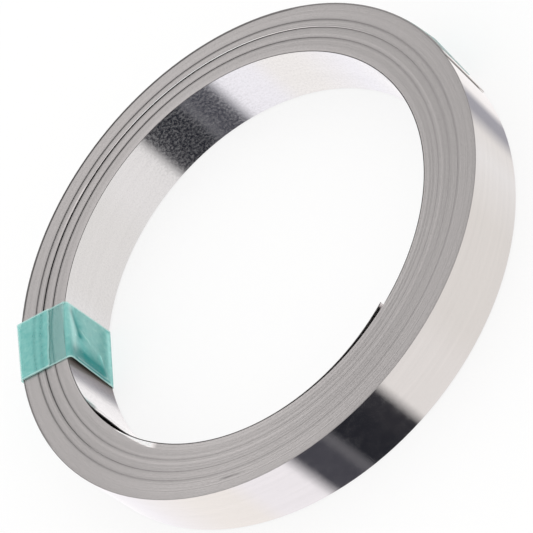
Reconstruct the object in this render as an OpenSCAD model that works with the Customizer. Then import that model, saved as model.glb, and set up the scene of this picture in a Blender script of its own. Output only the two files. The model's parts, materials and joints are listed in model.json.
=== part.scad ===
// Coil of bright nickel strip, lying on one end and held shut by a band of plastic tape.
// Millimetres. Z is the axis of the bore, and Z = 0 is the level surface that the coil lies on.

/* [Strip] */
// Width of the strip, which is the height of the coil
strip_w = 8; // [4:0.5:30]
// Thickness of the strip
strip_t = 0.1; // [0.05:0.01:0.3]

/* [Winding] */
// Diameter of the bore
bore_d = 48; // [24:1:120]
// Turns in each tight group, from the bore outwards
group_turns = [17, 12, 9, 20]; // [4:1:60]
// Air between one tight turn and the next
turn_gap = 0.004; // [0.001:0.001:0.03]
// Width of the gap between two groups, where the winding has slackened
slack_w = 0.15; // [0.05:0.01:0.5]
// Depth to which such a gap is open, from either end
slack_depth = 1.2; // [0.3:0.1:1.8]
// Most that the edge of a turn stands above or below the mean end of the coil
edge_wander = 0.05; // [0.01:0.01:0.2]
// Chamfer along the slit edges of the strip
edge_round = 0.02; // [0.01:0.005:0.02]

/* [Tape band] */
// Width of the tape
tape_w = 8; // [4:0.5:18]
// Thickness of the tape
tape_t = 0.06; // [0.03:0.01:0.1]
// Room between the tape and the curved faces under it
tape_fit = 0.02; // [0.01:0.01:0.05]
// Reach of the tape's lapped end over the top of the coil, from the outer face
lap_reach = 4.4; // [1:0.1:6]

/* [Tail tape] */
// Length of the piece of tape that holds the strip's outer end, along the outer face
tail_tape_l = 9; // [4:0.5:30]
// Angle from the band round to the middle of that piece
tail_angle = 214; // [90:1:270]
// Distance of its long edges from the ends of the coil
tail_margin = 0.4; // [0.2:0.1:1.5]

/* [Hidden] */

$fn = 180;
nickel = [0.86, 0.84, 0.82];
film = [0.33, 0.74, 0.66];

pitch = strip_t + turn_gap;
last_group = len(group_turns) - 1;
bore_r = bore_d / 2;
outer_r = group_in(last_group) + group_turns[last_group] * pitch;
coil_z = tape_t;
coil_h = strip_w + 2 * edge_wander;
tape_in = bore_r - tape_fit;
tape_out = outer_r + tape_fit;

// The golden angle sets the edges of neighbouring turns high and low with no pattern
golden_angle = 137.5;
function edge_z(turn) = coil_z + edge_wander * (1 + sin(turn * golden_angle));

// Turns between the bore and group g, and the radius at which that group starts
function turns_under(g) = g == 0 ? 0 : group_turns[g - 1] + turns_under(g - 1);
function group_in(g) = bore_r + turns_under(g) * pitch + g * slack_w;

// One end of group g, from its inner side outwards: the chamfered edge of each turn, between two slack gaps.
// rise is the height of that end above the lower one, and into is the way into the coil, 1 or -1.
function group_end(g, rise, into) =
    let (inner = group_in(g),
         outer = inner + group_turns[g] * pitch,
         valley = coil_z + rise + edge_wander * (1 + into) + into * edge_round,
         gap_floor = valley + into * slack_depth)
    concat(
        g == 0 ? [] : [[inner, gap_floor]],
        [[inner, valley]],
        [for (k = [0 : group_turns[g] - 1])
            let (start = inner + k * pitch, z = edge_z(turns_under(g) + k) + rise)
            each [[start + edge_round, z], [start + pitch - edge_round, z], [start + pitch, valley]]],
        g == last_group ? [] : [[outer, gap_floor]]);

function reversed(points) = [for (i = [len(points) - 1 : -1 : 0]) points[i]];

// Half section of the winding: every turn is as wide as the strip, shifted a little along the axis
module winding_section() {
    bottom = [for (g = [0 : last_group]) each group_end(g, 0, 1)];
    top = [for (g = [0 : last_group]) each group_end(g, strip_w, -1)];
    polygon(concat(bottom, reversed(top)));
}

module nickel_coil() {
    color(nickel)
        rotate_extrude()
            winding_section();
}

// Half section of the tape round the winding: one wrap, then a second up the outer face and over the top
module band_section() {
    difference() {
        union() {
            translate([tape_in - tape_t, coil_z - tape_t])
                square([tape_out - tape_in + 2 * tape_t, coil_h + 2 * tape_t]);
            translate([tape_out, coil_z - tape_t])
                square([2 * tape_t, coil_h + 3 * tape_t]);
            translate([outer_r - lap_reach, coil_z + coil_h])
                square([lap_reach + tape_fit + 2 * tape_t, 2 * tape_t]);
        }
        translate([tape_in, coil_z])
            square([tape_out - tape_in, coil_h]);
    }
}

// The band crosses the winding at +X, with straight edges one tape width apart
module tape_band() {
    reach = tape_out + 3 * tape_t;
    color(film)
        intersection() {
            rotate_extrude()
                band_section();
            translate([0, -tape_w / 2, 0])
                cube([reach, tape_w, coil_z + coil_h + 3 * tape_t]);
        }
}

// A short piece of the same tape, laid along the outer face
module tail_tape() {
    arc = tail_tape_l / tape_out * 180 / PI;
    color(film)
        rotate([0, 0, tail_angle - arc / 2])
            rotate_extrude(angle = arc)
                translate([tape_out, coil_z + tail_margin])
                    square([tape_t, coil_h - 2 * tail_margin]);
}

nickel_coil();
tape_band();
tail_tape();
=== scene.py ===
"""Looks of a coil of bright nickel strip, held shut by a band of translucent teal tape. Metres."""
import json
import math

import bpy
import numpy as np
from mathutils import Matrix, Vector


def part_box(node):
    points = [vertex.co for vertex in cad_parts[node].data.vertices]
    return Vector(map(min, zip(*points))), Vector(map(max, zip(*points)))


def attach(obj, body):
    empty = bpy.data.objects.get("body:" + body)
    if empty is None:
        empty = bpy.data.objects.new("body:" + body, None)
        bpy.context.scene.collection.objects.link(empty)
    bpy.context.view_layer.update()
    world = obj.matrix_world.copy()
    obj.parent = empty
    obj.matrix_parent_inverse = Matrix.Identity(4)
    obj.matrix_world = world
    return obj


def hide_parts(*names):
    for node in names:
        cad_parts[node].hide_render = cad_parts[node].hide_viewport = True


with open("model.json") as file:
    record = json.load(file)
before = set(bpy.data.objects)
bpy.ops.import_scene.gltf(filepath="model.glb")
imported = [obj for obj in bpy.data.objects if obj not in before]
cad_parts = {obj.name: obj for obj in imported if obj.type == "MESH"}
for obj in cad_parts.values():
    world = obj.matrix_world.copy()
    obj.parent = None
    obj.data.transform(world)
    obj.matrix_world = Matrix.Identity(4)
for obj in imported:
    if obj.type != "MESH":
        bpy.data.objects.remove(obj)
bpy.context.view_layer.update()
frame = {"nodes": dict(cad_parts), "record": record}

MM = 0.001
SEED = 7

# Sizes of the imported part
coil_low, coil_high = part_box("nickel_coil")
BORE_R = frame["record"]["mounts"][0]["dims"]["r_mm"] * MM
OUTER_R = coil_high.y
COIL_BOTTOM = coil_low.z
COIL_TOP = coil_high.z

# The strip and its winding. Azimuths are degrees from +X, and the band of tape is at 0.
STRIP_T = 0.1 * MM
STRIP_W = 8 * MM
CHAMFER_IN = 0.012 * MM
CHAMFER_DOWN = 0.006 * MM
STRIP_SHARP = math.radians(45)      # edges that turn by more are shaded as sharp
WHOLE_TURNS = 58
STEPS_PER_TURN = 144
TIGHT_PITCH = 0.1005 * MM
INNER_END_AZ = 134.5
TAIL_AZ = 199.0
TURNS = WHOLE_TURNS - ((TAIL_AZ - INNER_END_AZ) % 360) / 360
SLACK = OUTER_R - STRIP_T - BORE_R - TIGHT_PITCH * TURNS

# The edges wander up and down a little: the room at each end, by how much, and how many turns from one free
# choice to the next
EDGE_WANDER = (COIL_TOP - COIL_BOTTOM - STRIP_W) / 2
EDGE_JITTER = 0.008 * MM
JITTER_TURNS = 0.37

# Material slots of the strip, and the slot of each side of its section
OUTER_FACE, BORE_FACE, EDGE = 0, 1, 2
SIDE_SLOTS = (EDGE, EDGE, OUTER_FACE, EDGE, EDGE, EDGE, BORE_FACE, EDGE)

# Gaps where the winding has slackened: the turn at which each starts, and its share of the slack
SLACK_GAPS = ((17, 0.28), (29, 0.52), (38, 0.20))
SLACK_AZ = 312.0
SLACK_POWER = 3.0

# The inner end springs away from the winding, the innermost turn buckles beside the tape, and the tail
# lifts. Reaches are in turns, and the place and half width of the buckle in degrees.
INNER_SPRING = 0.42 * MM
INNER_REACH = 0.14
BUCKLE = 0.32 * MM
BUCKLE_AZ = 38.5
BUCKLE_HALF = 13.0
TAIL_LIFT = 0.02 * MM
TAIL_REACH = 0.03

# Brightness of the slit edges, from turn to turn and over several turns
FINE_TONE = 0.055
FINE_TURNS = 0.83
COARSE_TONE = 0.065
COARSE_TURNS = 2.6

# The edges beside a gap are shaded, most where the gap is widest
GAP_SHADE = 0.48
GAP_SHADE_LEAST = 0.1
GAP_SHADE_POWER = 0.4
GAP_SHADE_TURNS = 2.5

# Painted shade along the rims of the end: the innermost turn's edge is painted darkest. The outermost is
# paler, but round RIM_DARK_AZ it and up to RIM_DARK_TURNS more are as dark.
RIM_PALE = 0.75
RIM_DARK = 0.2
RIM_DARK_TURNS = 2
RIM_DARK_AZ = 305.0
RIM_DARK_HALF = 125.0

# A painted highlight along the edges beside the widest gap
GAP_HIGHLIGHT_TURNS = (29.0, 30.5)
GAP_HIGHLIGHT_GAIN = 2.3
GAP_HIGHLIGHT_AZ = 282.0
GAP_HIGHLIGHT_HALF = 75.0

# Beside the buckle a crescent of painted highlight: the edges next to the bore are painted bright, none of
# them at the one azimuth, and up to the given number of turns at the other
LIT_CRESCENT_FROM = 43.5
LIT_CRESCENT_TO = 59.5
LIT_CRESCENT_TURNS = 5.0
LIT_CRESCENT_GAIN = 1.1

# Painted sheen round the coil, which makes the edges brighter or duller: azimuth, reach on either side and
# gain
EDGE_SHEEN = ((80.0, 45.0, 0.14), (185.0, 50.0, -0.05), (290.0, 70.0, 0.09))

# A speck of dirt on the near end: its turns, its azimuth, its half width in degrees and its tone
SPECK_TURNS = (43.5, 45.5)
SPECK_AZ = 83.0
SPECK_HALF = 2.6
SPECK_TONE = 0.35

# Painted highlight: the tone of the sheared tail is raised, as its end catches the light
TAIL_HIGHLIGHT = 1.9

# A painted shadow of the tape lies on the bore beside it, from the film's edge to where the shadow ends.
# Where it is full it leaves the face this metallic.
TAPE_SHADOW_FROM = 9.0
TAPE_SHADOW_TO = 20.5
TAPE_SHADOW_POWER = 1.5
TAPE_SHADOW_COLOUR = (0.19, 0.14, 0.12, 1.0)
TAPE_SHADOW_METALLIC = 0.2

# The rolled faces: stretch of their faint lines, how far these dull the tint, and the relief of the mottle
LINES_SCALE = (0.05, 1.3, 1.0)
LINES_DULL = 0.97
MOTTLE_BUMP = 0.04
MOTTLE_DEPTH = 0.03 * MM

# The slit edges: their colour, and the fineness of their grain with the gain and roughness it goes through
EDGE_COLOUR = (0.492, 0.468, 0.465, 1.0)
EDGE_GRAIN = 5200.0
EDGE_GAIN = (0.87, 1.13)
EDGE_ROUGHNESS = (0.36, 0.46)

# The film of the tape. Its alpha is that of each face, where it lies flat and where it is folded, and
# LOOSE_FILM is how far it goes from the one to the other where the film hangs free or laps. It is cloudy
# between a dark and a light colour, and goes to a deep one, which is painted shade in its folds and over the
# winding's gaps, and to a pale one, which is painted highlights along its ridges and edges.
FILM_T = 0.06 * MM
FILM_SHARP = math.radians(60)       # edges that turn by more are shaded as sharp
FILM_ALPHA = 0.28
FOLD_ALPHA = 0.98
LOOSE_FILM = 0.22
FILM_DARK = (0.22, 0.69, 0.65)
FILM_LIGHT = (0.41, 0.89, 0.84)
FILM_DEEP = (0.0, 0.26, 0.25, 1.0)
FILM_PALE = (0.74, 0.95, 0.91, 1.0)
FILM_CLOUD = 1500.0
FILM_ROUGHNESS = (0.14, 0.3)
FILM_IOR = 1.48
FILM_SPECULAR = 0.35

# Pale lines of painted highlight along both long edges of the film: how pale, how dense for that, and where
# they start and how soon they are full, as shares of its half width
EDGE_LINE_PALE = 0.55
EDGE_LINE_DENSE = 0.5
EDGE_LINE_FROM = 0.94
EDGE_LINE_FADE = 0.03

# The band. Points along each straight leg and round each bend, and across.
TAPE_W = 8 * MM
LEG_STEPS = 64
BEND_STEPS = 9
BAND_COLUMNS = 65

# Room between the coil and the middle of the film, where the band starts, and how far each bend is rounded
BAND_OFF_OUTER = 0.06 * MM
BAND_OFF_END = 0.05 * MM
BAND_OFF_BORE_TOP = 0.62 * MM
BAND_OFF_BORE_LOW = 0.42 * MM
BAND_START_Z = 1.0 * MM
BAND_BENDS = (0.3 * MM, 0.55 * MM, 0.1 * MM, 0.1 * MM, 0.35 * MM)

# The band runs a little askew: slopes of its two upper folds and of its lapped end, which is ragged
OUTER_SKEW = 0.05
BORE_SKEW = 0.055
LAP_SKEW = 0.03
LAP_END_X = OUTER_R - 4.4 * MM
LAP_RAGGED = 0.07 * MM
RAGGED_SPACING = 0.09

# Creases of the band in the bore: ends as (across, up), width and height towards the axis in millimetres,
# and how pale (painted highlight), deep (painted shade) and dense each makes the film
CREASES = (((-3.6, 7.4), (2.0, 7.1), 0.60, 0.06, 0.42, 0.0, 1.0),
           ((-3.0, 7.1), (-0.3, 5.8), 0.60, -0.20, 0.0, 1.0, 1.0),
           ((0.4, 6.2), (2.4, 5.2), 0.90, -0.10, 0.0, 0.2, 0.6),
           ((-1.0, 5.8), (0.1, 4.4), 0.20, 0.12, 0.3, 0.0, 0.3),
           ((2.6, 6.8), (2.8, 2.0), 1.00, -0.20, 0.0, 1.5, 1.0),
           ((0.9, 2.4), (3.3, 1.1), 0.25, 0.15, 0.15, 0.0, 0.8),
           ((-3.2, 0.5), (3.7, 0.5), 0.50, 0.0, 0.2, 0.0, 1.0),
           ((3.375, 6.6), (3.375, 1.2), 0.12, 0.0, 0.3, 0.0, 0.6),
           ((3.625, 7.0), (3.625, 0.8), 0.12, 0.0, 0.0, 0.8, 0.8))

# How steeply a crease falls off, the power by which its height fades to the film's long edges, the
# millimetres over which it fades to both ends of the bore, and how far off the wall the film is fully loose
CREASE_POWER = 1.4
CREASE_TAPER = 8
CREASE_FADE = 1.2
BORE_FADE = 0.3 * MM

# Looks of the band's two layers on top: the lower one is deeper, the upper one ends in a pale line of
# painted highlight, and both show dark lines of painted shade over the gaps of the winding
LOWER_DEEP = 0.25
LAP_END_ROWS = 4
LAP_END_PALE = 0.4
GAP_LINE_LOWER = 0.12
GAP_LINE_UPPER = 0.3
GAP_LINE_W = 0.28 * MM

# The piece of tape by the tail: its points, its room, the corner that has lifted and its looks
TAIL_TAPE_ROWS = 40
TAIL_TAPE_COLUMNS = 25
TAIL_TAPE_OFF = 0.05 * MM
TAIL_TAPE_LIFT = 0.14 * MM
TAIL_TAPE_FREE = math.radians(6)
# Its edge lines of painted highlight, at this share, and how deep its film is
TAIL_TAPE_PALE = 0.5
TAIL_TAPE_DEEP = 0.5

# The camera: its angles in degrees, and its lens and sensor in millimetres
CAMERA_AZ = 123.97
CAMERA_ELEVATION = 42.337
CAMERA_ROLL = -51.5
CAMERA_DISTANCE = 253.4 * MM
CAMERA_AIM = Vector((-1.10, 1.72, 4.1)) * MM
CAMERA_LENS = 156.7
CAMERA_CLIP = 10 * MM
SENSOR = 36.0

# The studio: the colour of its upper half, the height of the direction from which the cards fade out up to
# the horizon, and the floor, which glows for a share of what the camera sees of it
UPPER_COLOUR = (0.96, 0.955, 0.95, 1.0)
CARD_FADE = -0.05
FLOOR_HALF = 1.5
FLOOR_COLOUR = (0.96, 0.96, 0.96, 1.0)
FLOOR_GLOW = 1.04
FLOOR_GLOW_SHARE = 0.7


def make_mesh(name, verts, faces, materials):
    """A new mesh object from an array of points and a list of faces."""
    mesh = bpy.data.meshes.new(name)
    mesh.from_pydata(verts.tolist(), [], faces)
    for material in materials:
        mesh.materials.append(material)
    obj = bpy.data.objects.new(name, mesh)
    bpy.context.collection.objects.link(obj)
    return obj


def point_values(mesh, name, values):
    """Stores one number for each point of a mesh, for its material to read."""
    attribute = mesh.attributes.new(name, "FLOAT", "POINT")
    attribute.data.foreach_set("value", np.asarray(values, np.float32).ravel())


def hump(azimuth, centre, half_width):
    """1 at an azimuth, falling smoothly to 0 half_width degrees away on either side."""
    away = np.abs((azimuth - centre + 180) % 360 - 180)
    return 0.5 + 0.5 * np.cos(np.pi * np.clip(away / half_width, 0, 1))


def smooth_noise(at, spacing, rng):
    """Numbers from -1 to 1 that wander smoothly along at, with a free choice every spacing."""
    knots = np.arange(0, at.max() + 2 * spacing, spacing)
    values = rng.uniform(-1, 1, len(knots))
    index = np.minimum((at / spacing).astype(int), len(knots) - 2)
    share = at / spacing - index
    share = share * share * (3 - 2 * share)
    return values[index] * (1 - share) + values[index + 1] * share


class Nodes:
    """Short calls for building a node tree. A value is a number, a colour or the socket to link."""

    # Colour sockets of a Mix node
    MIX_A, MIX_B, MIX_RESULT = 6, 7, 2

    def __init__(self, tree):
        self.tree = tree

    def add(self, kind, inputs=(), **settings):
        """A node, with its settings, and its inputs by name or number."""
        node = self.tree.nodes.new(kind)
        for key, value in settings.items():
            setattr(node, key, value)
        for key, value in dict(inputs).items():
            self.put(node.inputs[key], value)
        return node

    def put(self, socket, value):
        """Sets or links an input."""
        if isinstance(value, bpy.types.NodeSocket):
            self.tree.links.new(value, socket)
        else:
            socket.default_value = value

    def attribute(self, name):
        """The numbers that a mesh keeps for its points under a name."""
        return self.add("ShaderNodeAttribute", attribute_name=name).outputs["Fac"]

    def math(self, operation, *values):
        """A sum, product or other function of values."""
        return self.add("ShaderNodeMath", enumerate(values), operation=operation).outputs[0]

    def noise(self, vector, scale, detail, roughness):
        """Cloudy noise, mostly from 0.3 to 0.7."""
        values = {"Vector": vector, "Scale": scale, "Detail": detail, "Roughness": roughness}
        return self.add("ShaderNodeTexNoise", values).outputs["Fac"]

    def remap(self, value, low, high, to_low, to_high):
        """A value from one range taken to another, and held within it."""
        values = {"Value": value, "From Min": low, "From Max": high, "To Min": to_low, "To Max": to_high}
        return self.add("ShaderNodeMapRange", values).outputs["Result"]

    def ramp(self, value, stops):
        """A colour ramp through (position, colour) stops."""
        node = self.add("ShaderNodeValToRGB", {"Fac": value})
        elements = node.color_ramp.elements
        while len(elements) < len(stops):
            elements.new(1.0)
        for element, (position, colour) in zip(elements, stops):
            element.position = position
            element.color = (*colour, 1.0)
        return node.outputs["Color"]

    def mix(self, factor, a, b, blend="MIX"):
        """Two colours, mixed or blended in another way."""
        node = self.add("ShaderNodeMix", data_type="RGBA", blend_type=blend)
        self.put(node.inputs["Factor"], factor)
        self.put(node.inputs[self.MIX_A], a)
        self.put(node.inputs[self.MIX_B], b)
        return node.outputs[self.MIX_RESULT]


def new_material(name):
    """A node material, its Nodes helper and its Principled shader."""
    material = bpy.data.materials.new(name)
    material.use_nodes = True
    shader = material.node_tree.nodes["Principled BSDF"]
    return material, Nodes(material.node_tree), shader


def strip_face_material(name, tint, roughness, haze, mottle_scale):
    """Bright rolled nickel: a near mirror with faint lines along the strip. A fine mottle takes its
    roughness and its haze from one value to the other."""
    material, nodes, shader = new_material(name)
    uv = nodes.add("ShaderNodeUVMap", uv_map="strip").outputs["UV"]
    drawn = nodes.add("ShaderNodeMapping", {"Vector": uv, "Scale": LINES_SCALE}).outputs["Vector"]
    lines = nodes.noise(drawn, scale=1.0, detail=2.0, roughness=0.55)
    mottle = nodes.noise(uv, mottle_scale, detail=3.0, roughness=0.6)
    dull = [LINES_DULL * value for value in tint]
    clean = nodes.ramp(lines, ((0.35, dull), (0.65, tint)))
    # Painted shadow of the tape: the face goes darker, browner and less metallic
    tape_shadow = nodes.attribute("tape_shadow")
    nodes.put(shader.inputs["Base Color"], nodes.mix(tape_shadow, clean, TAPE_SHADOW_COLOUR))
    clear = nodes.remap(mottle, 0.44, 0.62, 1.0 - haze[0], 1.0 - haze[1])
    bare = nodes.remap(tape_shadow, 0.0, 1.0, 1.0, TAPE_SHADOW_METALLIC)
    nodes.put(shader.inputs["Metallic"], nodes.math("MULTIPLY", clear, bare))
    nodes.put(shader.inputs["Roughness"], nodes.remap(mottle, 0.4, 0.7, *roughness))
    relief = {"Strength": MOTTLE_BUMP, "Distance": MOTTLE_DEPTH, "Height": mottle}
    bump = nodes.add("ShaderNodeBump", relief)
    nodes.put(shader.inputs["Normal"], bump.outputs["Normal"])
    return material


def strip_edge_material():
    """Slit edges of the strip: satin grey, a little different from turn to turn, with highlights and shade
    painted into their tone.
    """
    material, nodes, shader = new_material("nickel_edge")
    place = nodes.add("ShaderNodeTexCoord").outputs["Object"]
    grain = nodes.noise(place, EDGE_GRAIN, detail=3.0, roughness=0.7)
    gain = nodes.math("MULTIPLY", nodes.attribute("tone"), nodes.remap(grain, 0.25, 0.75, *EDGE_GAIN))
    grey = nodes.add("ShaderNodeCombineColor", {"Red": gain, "Green": gain, "Blue": gain}).outputs["Color"]
    nodes.put(shader.inputs["Base Color"], nodes.mix(1.0, EDGE_COLOUR, grey, "MULTIPLY"))
    shader.inputs["Metallic"].default_value = 1.0
    nodes.put(shader.inputs["Roughness"], nodes.remap(grain, 0.3, 0.7, *EDGE_ROUGHNESS))
    return material


def film_material():
    """Translucent teal film with a soft gloss, which is paler with painted highlights, deeper with painted
    shade, or denser along its folds.
    """
    material, nodes, shader = new_material("tape_film")
    place = nodes.add("ShaderNodeTexCoord").outputs["Object"]
    cloud = nodes.noise(place, FILM_CLOUD, detail=5.0, roughness=0.65)
    body = nodes.ramp(cloud, ((0.3, FILM_DARK), (0.7, FILM_LIGHT)))
    # Painted shade (deep) and painted highlights (pale) read from the film's points
    folded = nodes.mix(nodes.attribute("deep"), body, FILM_DEEP)
    nodes.put(shader.inputs["Base Color"], nodes.mix(nodes.attribute("pale"), folded, FILM_PALE))
    nodes.put(shader.inputs["Roughness"], nodes.remap(cloud, 0.3, 0.7, *FILM_ROUGHNESS))
    dense = nodes.attribute("dense")
    nodes.put(shader.inputs["Alpha"], nodes.remap(dense, 0.0, 1.0, FILM_ALPHA, FOLD_ALPHA))
    shader.inputs["IOR"].default_value = FILM_IOR
    shader.inputs["Specular IOR Level"].default_value = FILM_SPECULAR
    return material


def slackness(azimuth):
    """How much of the slack has gathered in gaps at an azimuth, from 0 to 1."""
    return (0.5 + 0.5 * np.cos(np.radians(azimuth - SLACK_AZ))) ** SLACK_POWER


def winding_radius(turn, azimuth):
    """Radius of the strip's inner face. Its slack gathers in gaps on one side and spreads on the other."""
    opened = slackness(azimuth)
    gathered = sum(share * (turn >= start) for start, share in SLACK_GAPS)
    return BORE_R + TIGHT_PITCH * turn + SLACK * (opened * gathered + (1 - opened) * turn / TURNS)


def strip_path():
    """The strip's way from inner end to tail: turns so far, azimuth, and radius of its inner face."""
    turn = np.arange(int(TURNS * STEPS_PER_TURN) + 1) / STEPS_PER_TURN
    azimuth = INNER_END_AZ - 360 * turn
    radius = winding_radius(turn, azimuth)
    radius -= INNER_SPRING * np.clip(1 - turn / INNER_REACH, 0, 1) ** 2
    radius += TAIL_LIFT * np.clip(1 - (TURNS - turn) / TAIL_REACH, 0, 1) ** 2
    radius -= BUCKLE * hump(azimuth, BUCKLE_AZ, BUCKLE_HALF) * (turn < 1)
    return turn, azimuth, radius


def strip_section():
    """Section of the strip, counterclockwise from its bottom edge, as (outwards, upwards)."""
    return np.array([
        (CHAMFER_IN, 0), (STRIP_T - CHAMFER_IN, 0),
        (STRIP_T, CHAMFER_DOWN), (STRIP_T, STRIP_W - CHAMFER_DOWN),
        (STRIP_T - CHAMFER_IN, STRIP_W), (CHAMFER_IN, STRIP_W),
        (0, STRIP_W - CHAMFER_DOWN), (0, CHAMFER_DOWN)])


def strip_faces(rings):
    """Faces of the strip between its rings of points and at both ends, and the material slot of each."""
    sides = len(SIDE_SLOTS)
    faces, slots = [], []
    for ring in range(rings - 1):
        here, there = ring * sides, (ring + 1) * sides
        for side, slot in enumerate(SIDE_SLOTS):
            after = (side + 1) % sides
            faces.append((here + side, here + after, there + after, there + side))
            slots.append(slot)
    last = (rings - 1) * sides
    faces.append(tuple(reversed(range(sides))))
    faces.append(tuple(range(last, last + sides)))
    slots += [EDGE, EDGE]
    return faces, slots


def lay_out_strip(mesh, radius, upwards):
    """A UV map of the place along and across the strip in millimetres, for its finish."""
    steps = np.hypot(np.diff(radius), np.radians(360 / STEPS_PER_TURN) * radius[1:])
    length = np.concatenate([[0], np.cumsum(steps)])
    place = np.stack(np.broadcast_arrays(length[:, None], upwards), -1).reshape(-1, 2) / MM
    corners = np.empty(len(mesh.loops), np.int32)
    mesh.loops.foreach_get("vertex_index", corners)
    mesh.uv_layers.new(name="strip").data.foreach_set("uv", place[corners].astype(np.float32).ravel())


def edge_tone(turn, azimuth, rng):
    """Brightness of the slit edges along the strip, about 1: their own tone, with painted highlights and
    painted shade.
    """
    tone = 1 + FINE_TONE * smooth_noise(turn, FINE_TURNS, rng)
    tone += COARSE_TONE * smooth_noise(turn, COARSE_TURNS, rng)

    # Painted highlight beside the widest gap
    gap_highlight = (turn > GAP_HIGHLIGHT_TURNS[0]) & (turn < GAP_HIGHLIGHT_TURNS[1])
    tone *= 1 + GAP_HIGHLIGHT_GAIN * gap_highlight * hump(azimuth, GAP_HIGHLIGHT_AZ, GAP_HIGHLIGHT_HALF)
    # A crescent of painted highlight beside the buckle
    lit_crescent = (azimuth % 360 - LIT_CRESCENT_FROM) / (LIT_CRESCENT_TO - LIT_CRESCENT_FROM)
    lit_crescent *= lit_crescent < 1
    tone *= 1 + LIT_CRESCENT_GAIN * ((turn > 1) & (turn < 1 + LIT_CRESCENT_TURNS * lit_crescent))

    shade = GAP_SHADE_LEAST + (GAP_SHADE - GAP_SHADE_LEAST) * slackness(azimuth) ** GAP_SHADE_POWER
    for start, _ in SLACK_GAPS:
        tone *= 1 - shade * np.clip(1 - np.abs(turn - start) / GAP_SHADE_TURNS, 0, 1)
    # Painted sheen round the coil
    for centre, half_width, gain in EDGE_SHEEN:
        tone *= 1 + gain * hump(azimuth, centre, half_width)

    # Painted shade on the innermost and outermost turns
    dark = hump(azimuth, RIM_DARK_AZ, RIM_DARK_HALF)
    on_rim = turn > TURNS - 1 - RIM_DARK_TURNS * dark
    tone *= np.where(on_rim, RIM_PALE + (RIM_DARK - RIM_PALE) * dark, 1)
    tone *= np.where(turn < 1, RIM_DARK, 1)

    in_speck = (turn > SPECK_TURNS[0]) & (turn < SPECK_TURNS[1])
    tone *= 1 - (1 - SPECK_TONE) * in_speck * hump(azimuth, SPECK_AZ, SPECK_HALF)
    # Painted highlight on the sheared tail
    tone[-1] *= TAIL_HIGHLIGHT
    return tone


def painted_tape_shadow(turn, azimuth):
    """How strongly the painted shadow of the tape darkens the innermost turn beside it, from 0 to 1."""
    tape_shadow = np.clip((TAPE_SHADOW_TO - azimuth) / (TAPE_SHADOW_TO - TAPE_SHADOW_FROM), 0, 1) * (azimuth > 0) * (turn < 1)
    return tape_shadow ** TAPE_SHADOW_POWER


def wind_strip(materials):
    """The strip itself: one long spiral, from the inner end at the bore to the tail on the outer face."""
    rng = np.random.default_rng(SEED)
    turn, azimuth, radius = strip_path()
    bottom = COIL_BOTTOM + EDGE_WANDER + EDGE_JITTER * smooth_noise(turn, JITTER_TURNS, rng)

    outwards, upwards = strip_section().T
    sides = len(SIDE_SLOTS)
    ring_radius = radius[:, None] + outwards
    angle = np.radians(azimuth)[:, None] + np.zeros(sides)
    height = bottom[:, None] + upwards
    # The tail is sheared on a slant
    angle[-1] += outwards / radius[-1]
    verts = np.stack([ring_radius * np.cos(angle), ring_radius * np.sin(angle), height], -1).reshape(-1, 3)

    faces, slots = strip_faces(len(turn))
    obj = make_mesh("nickel_strip", verts, faces, materials)
    mesh = obj.data
    mesh.polygons.foreach_set("material_index", slots)
    mesh.shade_smooth()
    mesh.set_sharp_from_angle(angle=STRIP_SHARP)
    lay_out_strip(mesh, radius, upwards)
    point_values(mesh, "tone", np.repeat(edge_tone(turn, azimuth, rng), sides))
    # Painted shadow of the tape on the innermost turn
    point_values(mesh, "tape_shadow", np.repeat(painted_tape_shadow(turn, azimuth), sides))
    return obj


def bend(start, corner, end, reach):
    """Points round a corner: a curve that leaves one leg and joins the next reach from the corner."""
    before = corner + (start - corner) * min(1, reach / np.linalg.norm(start - corner))
    after = corner + (end - corner) * min(1, reach / np.linalg.norm(end - corner))
    share = np.linspace(0, 1, BEND_STEPS)[:, None]
    return (1 - share) ** 2 * before + 2 * share * (1 - share) * corner + share ** 2 * after


def rounded_path(points, reaches):
    """Points along straight legs with rounded corners, the same number for any such path."""
    points = np.array(points, float)
    rows = []
    start = points[0]
    for corner, end, reach in zip(points[1:-1], points[2:], reaches):
        curve = bend(start, corner, end, reach)
        rows.append(np.linspace(start, curve[0], LEG_STEPS, endpoint=False))
        rows.append(curve[:-1])
        start = curve[-1]
    rows.append(np.linspace(start, points[-1], LEG_STEPS))
    return np.concatenate(rows)


def film_mesh(name, middle, looks, material):
    """A closed film of even thickness about a grid of points, with values for its looks at each point."""
    rows, columns = middle.shape[:2]
    along = np.gradient(middle, axis=0)
    over = np.gradient(middle, axis=1)
    normal = np.cross(along, over)
    normal /= np.linalg.norm(normal, axis=2, keepdims=True)
    verts = np.concatenate([middle + normal * FILM_T / 2, middle - normal * FILM_T / 2]).reshape(-1, 3)
    front = np.arange(rows * columns).reshape(rows, columns)
    back = front + rows * columns
    faces = []
    for r in range(rows - 1):
        for c in range(columns - 1):
            faces.append((front[r, c], front[r + 1, c], front[r + 1, c + 1], front[r, c + 1]))
            faces.append((back[r, c], back[r, c + 1], back[r + 1, c + 1], back[r + 1, c]))
    rim = ([(0, c) for c in range(columns)] + [(r, columns - 1) for r in range(1, rows)]
           + [(rows - 1, c) for c in range(columns - 2, -1, -1)] + [(r, 0) for r in range(rows - 2, 0, -1)])
    for here, there in zip(rim, rim[1:] + rim[:1]):
        faces.append((front[here], front[there], back[there], back[here]))
    obj = make_mesh(name, verts, [tuple(int(v) for v in face) for face in faces], [material])
    obj.data.shade_smooth()
    obj.data.set_sharp_from_angle(angle=FILM_SHARP)
    for label, values in looks.items():
        point_values(obj.data, label, np.broadcast_to(np.clip(values, 0, 1), (2, rows, columns)))
    return obj


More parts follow.
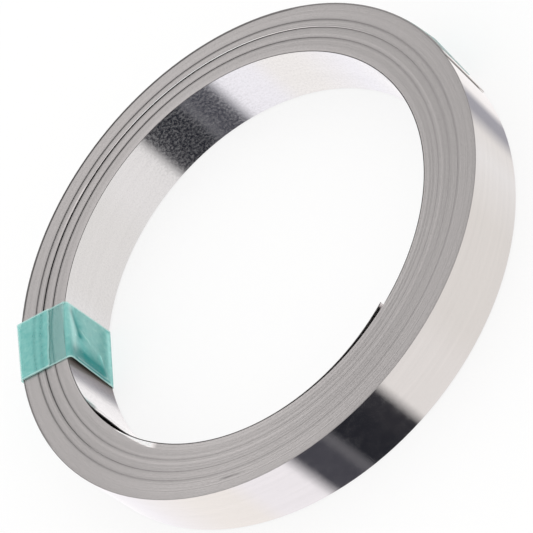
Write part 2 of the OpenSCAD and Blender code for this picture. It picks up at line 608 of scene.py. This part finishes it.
def edge_lines(across):
    """Pale lines of painted highlight that run along both long edges of the film."""
    return EDGE_LINE_PALE * np.clip((np.abs(across) - EDGE_LINE_FROM) / EDGE_LINE_FADE, 0, 1)


def crease(y, z, start, end, width):
    """A fold in the film: 1 along the line from start to end, falling off within width of it."""
    start, end = np.array(start), np.array(end)
    line = end - start
    share = np.clip(((y - start[0]) * line[0] + (z - start[1]) * line[1]) / (line @ line), 0, 1)
    away = np.hypot(y - start[0] - share * line[0], z - start[1] - share * line[1])
    return np.exp(-(away / width) ** CREASE_POWER)


def band_path(y, lap_end):
    """The band's way at one place across it, as (out from the axis, up): from the outer face over the top,
    through the bore, under the coil and over itself again."""
    outside = OUTER_R + BAND_OFF_OUTER - OUTER_SKEW * y
    inside_top = BORE_R - BAND_OFF_BORE_TOP - BORE_SKEW * y
    inside_low = BORE_R - BAND_OFF_BORE_LOW
    top = COIL_TOP + BAND_OFF_END
    under = FILM_T / 2
    layer = 2 * FILM_T
    points = [(outside, BAND_START_Z), (outside, top), (inside_top, top), (inside_low, under),
              (outside + layer, under), (outside + layer, top + layer), (lap_end, top + layer)]
    return rounded_path(points, BAND_BENDS)


def band_grid(across):
    """Middle of the band's film before it is creased: a grid of points along the band and across it."""
    ragged = LAP_RAGGED * smooth_noise(across + 1, RAGGED_SPACING, np.random.default_rng(SEED))
    grid = []
    for share, tear in zip(across, ragged):
        y = share * TAPE_W / 2
        path = band_path(y, LAP_END_X + LAP_SKEW * y + tear)
        grid.append(np.stack([path[:, 0], np.full(len(path), y), path[:, 1]], -1))
    return np.stack(grid, 1)


def tape_band(material):
    """The band of tape, creased where it hangs free across the bore."""
    across = np.linspace(-1, 1, BAND_COLUMNS)
    middle = band_grid(across)
    y, z = middle[:, :, 1] / MM, middle[:, :, 2] / MM

    # How much each point belongs to the stretch across the bore, and how free it is to be creased there
    in_bore = np.clip((BORE_R - middle[:, :, 0]) / BORE_FADE, 0, 1)
    free = np.clip(np.minimum(z, COIL_TOP / MM - z) / CREASE_FADE, 0, 1) * (middle[:, :, 0] < BORE_R)
    taper = 1 - np.abs(across) ** CREASE_TAPER

    # Painted highlights (pale), painted shade (deep) and the film's density at each point
    pale = edge_lines(across) + np.zeros_like(y)
    deep = np.zeros_like(y)
    dense = EDGE_LINE_DENSE * pale + LOOSE_FILM * in_bore
    for start, end, width, height, lightens, deepens, thickens in CREASES:
        strength = crease(y, z, start, end, width) * in_bore
        middle[:, :, 0] -= height * MM * strength * free * taper
        pale += lightens * strength
        deep += deepens * strength
        dense += thickens * strength

    # The lower layer on top is the second leg of the band's path, and the upper one is the last
    lower_start = LEG_STEPS + BEND_STEPS - 1
    deep[lower_start:lower_start + LEG_STEPS] += LOWER_DEEP
    dense[-LEG_STEPS:] += LOOSE_FILM
    # A pale line of painted highlight where the upper layer ends
    pale[-LAP_END_ROWS:] += LAP_END_PALE
    # Dark lines of painted shade over the gaps of the winding
    line_depth = np.full((len(deep), 1), GAP_LINE_LOWER)
    line_depth[-LEG_STEPS:] = GAP_LINE_UPPER
    on_top = (z > COIL_TOP / MM) & (middle[:, :, 0] > BORE_R)
    for start, _ in SLACK_GAPS:
        away = (np.hypot(middle[:, :, 0], middle[:, :, 1]) - winding_radius(start, 0.0)) / GAP_LINE_W
        deep += line_depth * np.exp(-away ** 2) * on_top
    return film_mesh("tape_band_film", middle, {"pale": pale, "deep": deep, "dense": dense}, material)


def tail_tape(material):
    """A short piece of the tape on the outer face, with one corner lifted a little."""
    low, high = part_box("tail_tape")
    node = frame["nodes"]["tail_tape"]
    points = np.array([v.co for v in node.data.vertices])
    angles = np.arctan2(points[:, 1], points[:, 0]) % (2 * math.pi)
    angle = np.linspace(angles.min(), angles.max(), TAIL_TAPE_ROWS)[:, None]
    across = np.linspace(-1, 1, TAIL_TAPE_COLUMNS)
    height = (low.z + high.z) / 2 + across * (high.z - low.z) / 2
    free = np.clip(1 - (angle - angles.min()) / TAIL_TAPE_FREE, 0, 1) ** 2
    lift = TAIL_TAPE_LIFT * free * (0.5 + 0.5 * across)
    radius = OUTER_R + TAIL_TAPE_OFF + lift
    middle = np.stack(np.broadcast_arrays(radius * np.cos(angle), radius * np.sin(angle), height), -1)
    looks = {"pale": edge_lines(across) * TAIL_TAPE_PALE, "deep": TAIL_TAPE_DEEP, "dense": LOOSE_FILM}
    return film_mesh("tail_tape_film", middle, looks, material)


def place_camera():
    """The camera at the photograph's angle, turned about its own axis."""
    azimuth, elevation = math.radians(CAMERA_AZ), math.radians(CAMERA_ELEVATION)
    back = Vector((math.cos(azimuth) * math.cos(elevation), math.sin(azimuth) * math.cos(elevation),
                   math.sin(elevation)))
    data = bpy.data.cameras.new("camera")
    data.lens = CAMERA_LENS
    data.sensor_width = SENSOR
    data.clip_start = CAMERA_CLIP
    camera = bpy.data.objects.new("camera", data)
    bpy.context.collection.objects.link(camera)
    level = (-back).to_track_quat("-Z", "Y").to_matrix().to_4x4()
    roll = Matrix.Rotation(math.radians(CAMERA_ROLL), 4, "Z")
    camera.matrix_world = Matrix.Translation(CAMERA_AIM + back * CAMERA_DISTANCE) @ level @ roll
    bpy.context.scene.camera = camera


def light_world():
    """White all round, with darker cards low down, which the bright strip reflects."""
    world = bpy.data.worlds.new("studio")
    bpy.context.scene.world = world
    world.use_nodes = True
    nodes = Nodes(world.node_tree)
    direction = nodes.add("ShaderNodeTexCoord").outputs["Generated"]
    x, y, z = nodes.add("ShaderNodeSeparateXYZ", {0: direction}).outputs
    way_round = nodes.remap(nodes.math("ARCTAN2", y, x), -math.pi, math.pi, 0.0, 1.0)

    # Colours of the lower half of the studio by azimuth in degrees
    warm, lilac, ivory = (1.06, 1.035, 1.03), (1.06, 1.045, 1.09), (1.06, 1.03, 1.0)
    pearl, cream, rose = (0.96, 0.955, 0.955), (0.92, 0.90, 0.885), (0.88, 0.86, 0.835)
    slate, dark, seam = (0.42, 0.42, 0.465), (0.07, 0.07, 0.086), (0.135, 0.135, 0.15)
    black, coal = (0.021, 0.022, 0.029), (0.031, 0.031, 0.038)
    cards = ((-180, rose), (-160, rose), (-132, pearl), (-119, cream), (-109, slate), (-101, slate),
             (-93.5, warm), (-60, warm), (-20, lilac), (14, ivory), (32, ivory), (42, lilac), (61.5, lilac),
             (68.5, dark), (80, dark), (83, seam), (85, seam), (88, black), (101, black), (104, coal),
             (111, coal), (116.5, cream), (140, cream), (155, rose), (180, rose))
    lower = nodes.ramp(way_round, [((azimuth + 180) / 360, colour) for azimuth, colour in cards])
    below = nodes.remap(z, CARD_FADE, 0.0, 1.0, 0.0)
    background = world.node_tree.nodes["Background"]
    nodes.put(background.inputs["Color"], nodes.mix(below, UPPER_COLOUR, lower))
    background.inputs["Strength"].default_value = 1.0


def lay_floor():
    """A plain pale floor that shows the shadow and stays out of the strip's reflections."""
    corners = FLOOR_HALF * np.array([(-1, -1, 0), (1, -1, 0), (1, 1, 0), (-1, 1, 0)])
    material, nodes, shader = new_material("floor")
    shader.inputs["Base Color"].default_value = FLOOR_COLOUR
    shader.inputs["Roughness"].default_value = 1.0
    shader.inputs["Specular IOR Level"].default_value = 0.0
    rays = nodes.add("ShaderNodeLightPath").outputs
    white = {"Color": (1.0, 1.0, 1.0, 1.0), "Strength": FLOOR_GLOW}
    glow = nodes.add("ShaderNodeEmission", white).outputs[0]
    seen = nodes.math("MULTIPLY", rays["Is Camera Ray"], FLOOR_GLOW_SHARE)
    mixed = nodes.add("ShaderNodeMixShader", {0: seen, 1: shader.outputs[0], 2: glow}).outputs[0]
    nodes.put(material.node_tree.nodes["Material Output"].inputs["Surface"], mixed)
    floor = make_mesh("floor", corners, [(0, 1, 2, 3)], [material])
    floor.visible_glossy = False


place_camera()
light_world()
lay_floor()

outer_face = strip_face_material("nickel_outer", tint=(0.80, 0.77, 0.76), roughness=(0.05, 0.09),
                                 haze=(0.003, 0.016), mottle_scale=1.0)
bore_face = strip_face_material("nickel_bore", tint=(0.82, 0.81, 0.82), roughness=(0.1, 0.19),
                                haze=(0.012, 0.15), mottle_scale=2.8)
strip = wind_strip([outer_face, bore_face, strip_edge_material()])
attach(strip, "root")
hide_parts("nickel_coil")

film = film_material()
for piece, node in ((tape_band(film), "tape_band"), (tail_tape(film), "tail_tape")):
    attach(piece, "root")
    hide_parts(node)

bpy.context.scene.view_settings.view_transform = "Standard"
